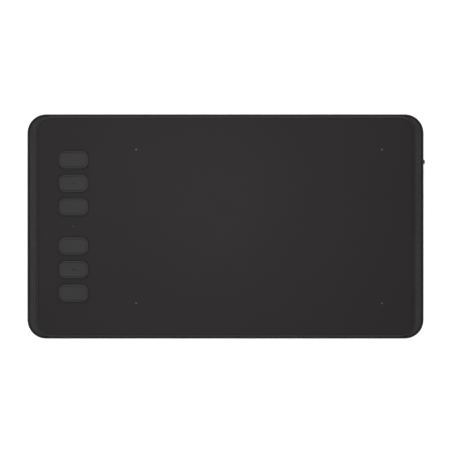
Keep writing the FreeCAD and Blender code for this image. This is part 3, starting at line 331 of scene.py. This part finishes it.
rolling = {"streakTint": 1.2, "streakRough": 0.2, "streakDepth": 0.002 * mm,
           "stainSize": 2.5 * mm, "stainTint": 1.5, "stainRough": 0.2, "middle": 0.45,
           "edge": 0.06 * mm, "wornTint": 0.4, "wornShine": 0.08}
steelLook = {**rolling, "dark": (0.33, 0.33, 0.335), "bright": (0.62, 0.615, 0.61),
             "roughness": 0.3, "streak": 0.08 * mm, "streakLength": 6 * mm}
screwLook = {**rolling, "dark": (0.035, 0.035, 0.037), "bright": (0.12, 0.12, 0.122),
             "roughness": 0.36, "streak": 0.06 * mm, "streakLength": 1.2 * mm}
goldLook = {**rolling, "dark": (0.62, 0.4, 0.12), "bright": (0.88, 0.64, 0.26),
            "roughness": 0.24, "streak": 0.03 * mm, "streakLength": 1.5 * mm}


def metal(name, look):
    # rolled or plated metal: fine streaks along X, stains and rubbed edges
    finish = Finish(name)
    scale = (1 / look["streakLength"], 1 / look["streak"], 1 / look["streak"])
    streaks = finish.ripple(1.0, detail=3, place=finish.stretched(scale))
    stain = finish.ripple(look["stainSize"], detail=4, distortion=0.8)
    edge, worn = finish.softEdges(look["edge"])
    amount = streaks * look["streakTint"] + stain * look["stainTint"] + look["middle"]
    color = finish.blend(amount + worn * look["wornTint"], look["dark"], look["bright"])
    roughness = look["roughness"] + streaks * look["streakRough"] + stain * look["stainRough"]
    return finish.close({"Base Color": color, "Metallic": 1.0,
                         "Roughness": roughness - worn * look["wornShine"],
                         "Normal": finish.bump(streaks, look["streakDepth"], edge)})


# Electronics and what lies inside

boardLook = {"mask": (0.006, 0.045, 0.024), "copper": (0.016, 0.095, 0.05), "patch": 5 * mm,
             "alongFrom": 0.54, "acrossTo": 0.45, "tracePitch": 1.27 * mm, "traceShare": 0.22,
             "traceTint": 0.85, "traceDepth": 0.02 * mm, "cloudSize": 12 * mm, "cloudTint": 0.6,
             "cloudMiddle": 0.3, "cloudTone": 0.6, "cloudRough": 0.15, "cloudShare": 0.2,
             "roughness": 0.34}


def circuitBoard(name, look):
    # solder mask over copper tracks that run in two directions, in patches
    finish = Finish(name)
    x, y = finish.split(finish.place)[:2]
    choice = finish.noise(look["patch"], detail=0)
    along = finish.stripes(y, look["tracePitch"], look["traceShare"])
    across = finish.stripes(x, look["tracePitch"], look["traceShare"])
    level = finish.math("GREATER_THAN", choice, look["alongFrom"])
    upright = finish.math("LESS_THAN", choice, look["acrossTo"])
    tracks = along * level + across * upright
    cloud = finish.ripple(look["cloudSize"], detail=2)
    color = finish.blend(tracks * look["traceTint"], look["mask"], look["copper"])
    shade = cloud * look["cloudTint"] + look["cloudMiddle"]
    toned = finish.blend(shade, color, shaded(look["mask"], look["cloudTone"]))
    relief = finish.bump(tracks + cloud * look["cloudShare"], look["traceDepth"])
    return finish.close({"Base Color": toned, "Normal": relief,
                         "Roughness": look["roughness"] + cloud * look["cloudRough"]})


sensorLook = {"mask": (0.004, 0.03, 0.05), "copper": (0.012, 0.07, 0.1), "pitch": 6.1 * mm,
              "share": 0.05, "loopWidth": 1.1 * mm, "traceTint": 0.8, "traceDepth": 0.02 * mm,
              "cloudSize": 20 * mm, "cloudTint": 0.3, "cloudRough": 0.15, "roughness": 0.36}


def sensorBoard(name, look):
    # the antenna grid shows through the mask as crossing loops
    finish = Finish(name)
    x, y = finish.split(finish.place)[:2]
    sides = [(x, y), (x + look["loopWidth"], y + look["loopWidth"])]
    grids = [finish.math("MAXIMUM", finish.stripes(across, look["pitch"], look["share"]),
                         finish.stripes(along, look["pitch"], look["share"]))
             for across, along in sides]
    tracks = finish.math("MAXIMUM", *grids)
    cloud = finish.ripple(look["cloudSize"], detail=2)
    color = finish.blend(tracks * look["traceTint"] + cloud * look["cloudTint"],
                         look["mask"], look["copper"])
    return finish.close({"Base Color": color, "Normal": finish.bump(tracks, look["traceDepth"]),
                         "Roughness": look["roughness"] + cloud * look["cloudRough"]})


resinLook = {"tones": (0.75, 1.25), "speckleTint": 1.2, "speckleRough": 0.15,
             "speckleDepth": 0.006 * mm, "cloudSize": 14, "cloudRough": 0.1,
             "edge": 0.06 * mm, "wear": 0.3, "wornTone": 1.5, "wornLift": 0.02}


def resin(name, color, roughness, size, look=resinLook):
    # plain technical plastic or epoxy, with a speckle of that size and flow clouds
    finish = Finish(name)
    speckle = finish.ripple(size, detail=3)
    cloud = finish.ripple(size * look["cloudSize"], detail=3, distortion=0.5)
    edge, worn = finish.softEdges(look["edge"])
    tinted = finish.toned(speckle * look["speckleTint"] + cloud, color, look["tones"])
    pale = tuple(min(1, channel * look["wornTone"] + look["wornLift"]) for channel in color)
    roughness = roughness + speckle * look["speckleRough"] + cloud * look["cloudRough"]
    return finish.close({"Base Color": finish.blend(worn * look["wear"], tinted, pale),
                         "Roughness": roughness,
                         "Normal": finish.bump(speckle, look["speckleDepth"], edge)})


cableLook = {"film": (0.42, 0.2, 0.05), "conductor": (0.62, 0.34, 0.12), "pitch": 0.5 * mm,
             "share": 0.55, "tint": 0.7, "depth": 0.015 * mm, "cloudSize": 3 * mm,
             "cloudTint": 0.3, "cloudRough": 0.2, "roughness": 0.3}


def flatCable(name, look):
    # polyimide film over copper conductors that run along X
    finish = Finish(name)
    conductors = finish.stripes(finish.split(finish.place)[1], look["pitch"], look["share"])
    cloud = finish.ripple(look["cloudSize"], detail=3)
    color = finish.blend(conductors * look["tint"] + cloud * look["cloudTint"],
                         look["film"], look["conductor"])
    return finish.close({"Base Color": color, "Normal": finish.bump(conductors, look["depth"]),
                         "Roughness": look["roughness"] + cloud * look["cloudRough"]})


foilLook = {"dark": (0.4, 0.4, 0.41), "bright": (0.66, 0.66, 0.67), "metallic": 0.75,
            "wrinkle": 5 * mm, "wrinkleDepth": 0.12 * mm, "fineSize": 0.6 * mm, "fineTint": 0.5,
            "fineRough": 0.2, "fineShare": 0.15, "roughness": 0.34}


def pouchFoil(name, look):
    # laminated foil, slightly wrinkled
    finish = Finish(name)
    wrinkle = finish.ripple(look["wrinkle"], detail=4, distortion=1.2)
    fine = finish.ripple(look["fineSize"], detail=2)
    color = finish.blend(wrinkle + fine * look["fineTint"] + 0.5, look["dark"], look["bright"])
    relief = finish.bump(wrinkle + fine * look["fineShare"], look["wrinkleDepth"])
    return finish.close({"Base Color": color, "Metallic": look["metallic"], "Normal": relief,
                         "Roughness": look["roughness"] + fine * look["fineRough"]})


foamLook = {"color": (0.075, 0.075, 0.078), "poreShadeTone": 0.45, "wallTone": 1.15,
            "poreSize": 0.45 * mm, "poreFloor": 0.15, "poreEdge": 0.55, "smallSize": 0.18 * mm,
            "smallRough": 0.1, "smallShare": 0.4, "depth": 0.15 * mm, "roughness": 0.88}


def foamPad(name, look):
    # open foam: round pores whose bottoms are darkened with painted shade
    finish = Finish(name)
    pores = finish.cells(look["poreSize"])
    small = finish.cells(look["smallSize"])
    tinted = finish.blend(finish.between(pores, look["poreFloor"], look["poreEdge"]),
                          shaded(look["color"], look["poreShadeTone"]),
                          shaded(look["color"], look["wallTone"]))
    relief = finish.bump(pores + small * look["smallShare"], look["depth"])
    return finish.close({"Base Color": tinted, "Normal": relief,
                         "Roughness": small * look["smallRough"] + look["roughness"]})


tapeLook = {"color": (0.05, 0.048, 0.045), "tones": (0.7, 1.35), "fibreLength": 9 * mm,
            "fibreWidth": 0.3 * mm, "fibreRough": 0.2, "bubbleSize": 6 * mm, "bubbleEdge": 0.16,
            "bubbleFull": 0.1, "bubbleTint": 0.3, "depth": 0.02 * mm, "roughness": 0.46}


def tape(name, look):
    # adhesive tape: crossed fibres under a smooth face, with small trapped bubbles
    finish = Finish(name)
    long, wide = 1 / look["fibreLength"], 1 / look["fibreWidth"]
    warp = finish.ripple(1.0, detail=1, place=finish.stretched((long, wide, 1)))
    weft = finish.ripple(1.0, detail=1, place=finish.stretched((wide, long, 1)))
    bubble = finish.between(finish.cells(look["bubbleSize"]), look["bubbleEdge"],
                            look["bubbleFull"])
    tinted = finish.toned(warp + weft + bubble * look["bubbleTint"], look["color"], look["tones"])
    roughness = look["roughness"] + warp * look["fibreRough"] + weft * look["fibreRough"]
    return finish.close({"Base Color": tinted, "Roughness": roughness,
                         "Normal": finish.bump(warp + weft + bubble, look["depth"])})


pipeLook = {"color": (0.145, 0.145, 0.145), "tones": (0.8, 1.2), "swirlSize": 0.35 * mm,
            "swirlTint": 1.2, "scuffSize": 0.08 * mm, "scuffRough": 0.2,
            "scuffDepth": 0.002 * mm, "roughness": 0.22, "coatRoughness": 0.1}


def lightPipe(name, look):
    # smoky plastic with a faint swirl and a scuffed end
    finish = Finish(name)
    swirl = finish.ripple(look["swirlSize"], detail=2, distortion=1.5)
    scuff = finish.ripple(look["scuffSize"], detail=2)
    tinted = finish.toned(swirl * look["swirlTint"], look["color"], look["tones"])
    return finish.close({"Base Color": tinted, "Coat Roughness": look["coatRoughness"],
                         "Roughness": look["roughness"] + scuff * look["scuffRough"],
                         "Normal": finish.bump(scuff, look["scuffDepth"])})


inkLook = {"color": (0.18, 0.178, 0.178), "tones": (0.85, 1.15), "grainSize": 0.1 * mm,
           "grainRough": 0.2, "grainDepth": 0.002 * mm, "patchSize": 0.5 * mm, "roughness": 0.5}


def printInk(name, look):
    # grey ink with a soft, slightly grainy face
    finish = Finish(name)
    grain = finish.ripple(look["grainSize"], detail=3)
    patch = finish.ripple(look["patchSize"], detail=2)
    return finish.close({"Base Color": finish.toned(grain + patch, look["color"], look["tones"]),
                         "Roughness": look["roughness"] + grain * look["grainRough"],
                         "Normal": finish.bump(grain, look["grainDepth"])})


# One finish for each material slot of the record, and four for pieces that have none of these
finishes = {
    "case_plastic": moulded("eroded case plastic", caseLook),
    "panel_plastic": moulded("satin panel plastic", panelLook),
    "band_plastic": moulded("coarse end band plastic", bandLook),
    "button_plastic": moulded("smooth button plastic", buttonLook),
    "surface_film": workFilm("work surface film", filmLook),
    "key_plastic": keyPlastic("satin key plastic", keyLook),
    "foot_rubber": rubber("foot rubber", rubberLook),
    "screw_steel": metal("black screw steel", screwLook),
    "bright_steel": metal("bright rolled steel", steelLook),
    "circuit_board": circuitBoard("green circuit board", boardLook),
    "chip_plastic": resin("chip epoxy", (0.016, 0.016, 0.017), 0.5, 0.12 * mm),
    "switch_plastic": resin("switch nylon", (0.03, 0.03, 0.031), 0.5, 0.1 * mm),
    "plunger_plastic": resin("plunger nylon", (0.09, 0.088, 0.084), 0.42, 0.1 * mm),
    "connector_plastic": resin("connector nylon", (0.028, 0.028, 0.03), 0.44, 0.1 * mm),
    "plug_plastic": resin("plug nylon", (0.72, 0.69, 0.61), 0.45, 0.1 * mm),
    "red_insulation": resin("red wire insulation", (0.42, 0.018, 0.014), 0.38, 0.15 * mm),
    "black_insulation": resin("black wire insulation", (0.014, 0.014, 0.015), 0.38, 0.15 * mm),
    "light_lens": lightPipe("light pipe", pipeLook),
    "adhesive_tape": tape("adhesive tape", tapeLook),
    "foam": foamPad("open foam", foamLook),
    "flat_cable": flatCable("flat cable", cableLook),
    "pouch_foil": pouchFoil("battery foil", foilLook),
}
sensorFinish = sensorBoard("sensor board", sensorLook)
goldFinish = metal("contact gold", goldLook)
inkFinish = printInk("corner mark ink", inkLook)
ceramicFinish = resin("capacitor ceramic", (0.3, 0.19, 0.1), 0.4, 0.05 * mm)

for part in frame["record"]["subparts"]:
    for slot in cad[part["node"]].material_slots:
        slot.material = finishes[part["material_slot"]]
cad["sensor_board"].material_slots[0].material = sensorFinish
print("materials made:", len(bpy.data.materials))


# What repeats, grown by Geometry Nodes

class Growth(Tree):
    # a Geometry Nodes tree with named sizes
    def __init__(self, name, sizes):
        super().__init__(bpy.data.node_groups.new(name, "GeometryNodeTree"))
        self.name = name
        self.sizes = sizes
        face = self.tree.interface
        face.new_socket("Geometry", in_out="OUTPUT", socket_type="NodeSocketGeometry")
        self.names = {}
        for label, size in sizes.items():
            kind = "NodeSocketInt" if isinstance(size, int) else "NodeSocketFloat"
            self.names[label] = face.new_socket(label, in_out="INPUT", socket_type=kind).identifier
        self.given = self.node("NodeGroupInput").socket.node

    def size(self, label):
        return Tone(self, self.given.outputs[label])

    def move(self, geometry, x, y, z):
        return self.node("GeometryNodeTransform", None,
                         {"Geometry": geometry, "Translation": self.vector(x, y, z)})

    def grow(self, geometry, material, body):
        # the finished plain mesh, riding on its body
        single = self.node("GeometryNodeRealizeInstances", None, {"Geometry": geometry})
        painted = self.node("GeometryNodeSetMaterial", None,
                            {"Geometry": single, "Material": material})
        self.node("NodeGroupOutput", None, {0: painted})
        seed = bpy.data.objects.new(self.name + "_seed", bpy.data.meshes.new(self.name + "_seed"))
        bpy.context.scene.collection.objects.link(seed)
        modifier = seed.modifiers.new("growth", "NODES")
        modifier.node_group = self.tree
        for label, size in self.sizes.items():
            modifier[self.names[label]] = size
        graph = bpy.context.evaluated_depsgraph_get()
        mesh = bpy.data.meshes.new_from_object(seed.evaluated_get(graph))
        seed.modifiers.remove(modifier)
        bpy.data.objects.remove(seed)
        piece = bpy.data.objects.new(self.name, mesh)
        bpy.context.scene.collection.objects.link(piece)
        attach(piece, body)
        return piece


areaDots = {"Area Width": 160 * mm, "Area Depth": 100 * mm, "Middle X": 21.85 * mm,
            "Film Top": 8.8 * mm, "Radius": 0.5 * mm, "Proud": 0.015 * mm, "Sunk": 0.005 * mm,
            "Sides": 28}


def growDots(sizes):
    # the four corner marks of the active area, printed on the film
    growth = Growth("area_corner_dots", sizes)
    size = growth.size
    corners = growth.node("GeometryNodeMeshGrid", None, {
        "Size X": size("Area Width"), "Size Y": size("Area Depth"), "Vertices X": 2,
        "Vertices Y": 2})
    thick = size("Proud") + size("Sunk")
    dot = growth.node("GeometryNodeMeshCylinder", None,
                      {"Vertices": size("Sides"), "Radius": size("Radius"), "Depth": thick})
    dots = growth.node("GeometryNodeInstanceOnPoints", None, {"Points": corners, "Instance": dot})
    height = size("Film Top") + size("Proud") - thick / 2
    return growth.grow(growth.move(dots, size("Middle X"), 0.0, height), inkFinish, "casing")


socketPads = {"Count": 12, "Pitch": 0.5 * mm, "Middle Y": 28 * mm, "Middle Z": 3.93 * mm,
              "Tongue Thickness": 0.7 * mm, "Pad Start X": 124.3 * mm, "Pad Length": 3.3 * mm,
              "Pad Width": 0.26 * mm, "Pad Thickness": 0.04 * mm}


def growSocketPads(sizes):
    # gold contacts on both faces of the charging socket's tongue, a quarter of them sunk in it
    growth = Growth("socket_contacts", sizes)
    size = growth.size
    first = size("Middle Y") - size("Pitch") * (size("Count") - 1) / 2
    middle = size("Pad Start X") + size("Pad Length") / 2
    row = growth.node("GeometryNodeMeshLine", None, {
        "Count": size("Count"), "Start Location": growth.vector(middle, first, 0.0),
        "Offset": growth.vector(0.0, size("Pitch"), 0.0)})
    pad = growth.node("GeometryNodeMeshCube", None, {"Size": growth.vector(
        size("Pad Length"), size("Pad Width"), size("Pad Thickness"))})
    pads = growth.node("GeometryNodeInstanceOnPoints", None, {"Points": row, "Instance": pad})
    lift = size("Tongue Thickness") / 2 + size("Pad Thickness") / 4
    faces = [growth.move(pads, 0.0, 0.0, size("Middle Z") + lift),
             growth.move(pads, 0.0, 0.0, size("Middle Z") - lift)]
    both = growth.node("GeometryNodeJoinGeometry", None, {"Geometry": faces})
    return growth.grow(both, goldFinish, "casing")


chipParts = {"Board Top": 4 * mm, "Length": 1 * mm, "Width": 0.5 * mm, "Height": 0.5 * mm,
             "End Length": 0.24 * mm, "End Swell": 0.03 * mm, "Keys X": -106.5 * mm,
             "First Key Y": 12.7 * mm, "Key Pitch": 15.35 * mm, "Key Count": 3,
             "Chip X": -90.2 * mm, "First Chip Y": 5 * mm, "Chip Pitch": 1.5 * mm, "Chip Count": 5}


def growChipParts(name, sizes, ends, material):
    # ceramic capacitors beside the key switches and the controller, or their tinned ends
    growth = Growth(name, sizes)
    size = growth.size

    def row(count, x, y, pitch):
        return growth.node("GeometryNodeMeshLine", None, {
            "Count": count, "Start Location": growth.vector(x, y, 0.0),
            "Offset": growth.vector(0.0, pitch, 0.0)})

    def block(length, swell):
        return growth.node("GeometryNodeMeshCube", None, {"Size": growth.vector(
            length, size("Width") + swell, size("Height") + swell)})

    rows = [row(size("Key Count"), size("Keys X"), size("First Key Y"), size("Key Pitch")),
            row(size("Key Count"), size("Keys X"), 0 - size("First Key Y"), 0 - size("Key Pitch")),
            row(size("Chip Count"), size("Chip X"), size("First Chip Y"), size("Chip Pitch"))]
    places = growth.node("GeometryNodeJoinGeometry", None, {"Geometry": rows})
    if ends:
        end = block(size("End Length"), size("End Swell"))
        reach = (size("Length") - size("End Length")) / 2
        shape = growth.node("GeometryNodeJoinGeometry", None, {
            "Geometry": [growth.move(end, reach, 0.0, 0.0), growth.move(end, 0 - reach, 0.0, 0.0)]})
    else:
        shape = block(size("Length") - size("End Length") * 2, 0.0)
    parts = growth.node("GeometryNodeInstanceOnPoints", None, {"Points": places, "Instance": shape})
    lift = size("Board Top") + size("Height") / 2
    return growth.grow(growth.move(parts, 0.0, 0.0, lift), material, "casing")


growDots(areaDots)
growSocketPads(socketPads)
growChipParts("board_capacitor_bodies", chipParts, False, ceramicFinish)
growChipParts("board_capacitor_ends", chipParts, True, finishes["bright_steel"])
print("repeated pieces grown")


# Studio

floorLook = {"width": 30.0, "color": (0.86, 0.86, 0.86), "tones": (0.99, 1.01),
             "cloudSize": 0.4, "roughness": 0.9, "gloss": 0.2, "glow": 0.7}


def makeFloor(look):
    half = look["width"] / 2
    mesh = bpy.data.meshes.new("floor")
    mesh.from_pydata([(-half, -half, 0), (half, -half, 0), (half, half, 0), (-half, half, 0)],
                     [], [(0, 1, 2, 3)])
    floor = bpy.data.objects.new("floor", mesh)
    bpy.context.scene.collection.objects.link(floor)
    finish = Finish("pale floor")
    cloud = finish.ripple(look["cloudSize"], detail=2)
    floor.data.materials.append(finish.close({
        "Base Color": finish.toned(cloud, look["color"], look["tones"]),
        "Roughness": look["roughness"], "Specular IOR Level": look["gloss"],
        "Emission Color": (1, 1, 1, 1), "Emission Strength": look["glow"]}))


softbox = {"name": "overhead", "size": (0.2, 0.16), "place": (-0.035, 0.038, 0.52),
           "watts": 0.22, "color": (1.0, 0.96, 0.975)}


def makeSoftbox(look):
    # aimed at the middle of the tablet, and not seen itself
    light = bpy.data.lights.new(look["name"], "AREA")
    light.shape = "RECTANGLE"
    light.size, light.size_y = look["size"]
    light.energy = look["watts"]
    light.color = look["color"]
    lamp = bpy.data.objects.new(look["name"], light)
    bpy.context.scene.collection.objects.link(lamp)
    lamp.location = look["place"]
    lamp.rotation_euler = (-Vector(look["place"])).to_track_quat("-Z", "Y").to_euler()
    lamp.visible_camera = False


# Heights are the Z of a direction: 0 is level with the floor, and 1 is straight up.
roomLook = {"wall": 4.85, "ceiling": 0.1, "wallTop": 0.41, "ceilingStart": 0.58,
            "skirt": 0.26, "skirtTop": 0.1, "wallStart": 0.32, "endDrop": 0.17,
            "rearGain": 0.1, "leftGain": 0.12}


def makeRoom(look):
    # pale walls under a dim ceiling, dimmer near the floor: lower at the two ends, and a little
    # brighter behind and at the left
    world = bpy.data.worlds.new("studio room")
    world.use_nodes = True
    world.node_tree.nodes.clear()
    room = Tree(world.node_tree)
    x, y, z = room.split(room.node("ShaderNodeTexCoord", output="Generated"))
    glow = room.between(z + abs(x) * look["endDrop"], look["wallTop"], look["ceilingStart"],
                        look["wall"], look["ceiling"])
    foot = room.between(z, look["skirtTop"], look["wallStart"], look["skirt"])
    gain = y * look["rearGain"] - x * look["leftGain"] + 1
    air = room.node("ShaderNodeBackground", None,
                    {"Color": (1, 1, 1, 1), "Strength": glow * foot * gain})
    room.node("ShaderNodeOutputWorld", None, {"Surface": air})
    bpy.context.scene.world = world


cameraLook = {"height": 3.0, "x": 0.33 * mm, "y": 0.3 * mm, "plateau": 8.8 * mm,
              "frameWidth": 294.15 * mm, "sensorWidth": 36.0, "farthest": 100.0}


def makeCamera(look):
    # straight above and far away, with the panel's top as wide in the frame as in the photograph
    optics = bpy.data.cameras.new("camera")
    optics.sensor_width = look["sensorWidth"]
    optics.lens = look["sensorWidth"] * (look["height"] - look["plateau"]) / look["frameWidth"]
    optics.clip_end = look["farthest"]
    camera = bpy.data.objects.new("camera", optics)
    bpy.context.scene.collection.objects.link(camera)
    camera.location = (look["x"], look["y"], look["height"])
    bpy.context.scene.camera = camera


makeFloor(floorLook)
makeSoftbox(softbox)
makeRoom(roomLook)
makeCamera(cameraLook)
bpy.context.scene.view_settings.view_transform = "Standard"
print("studio ready")
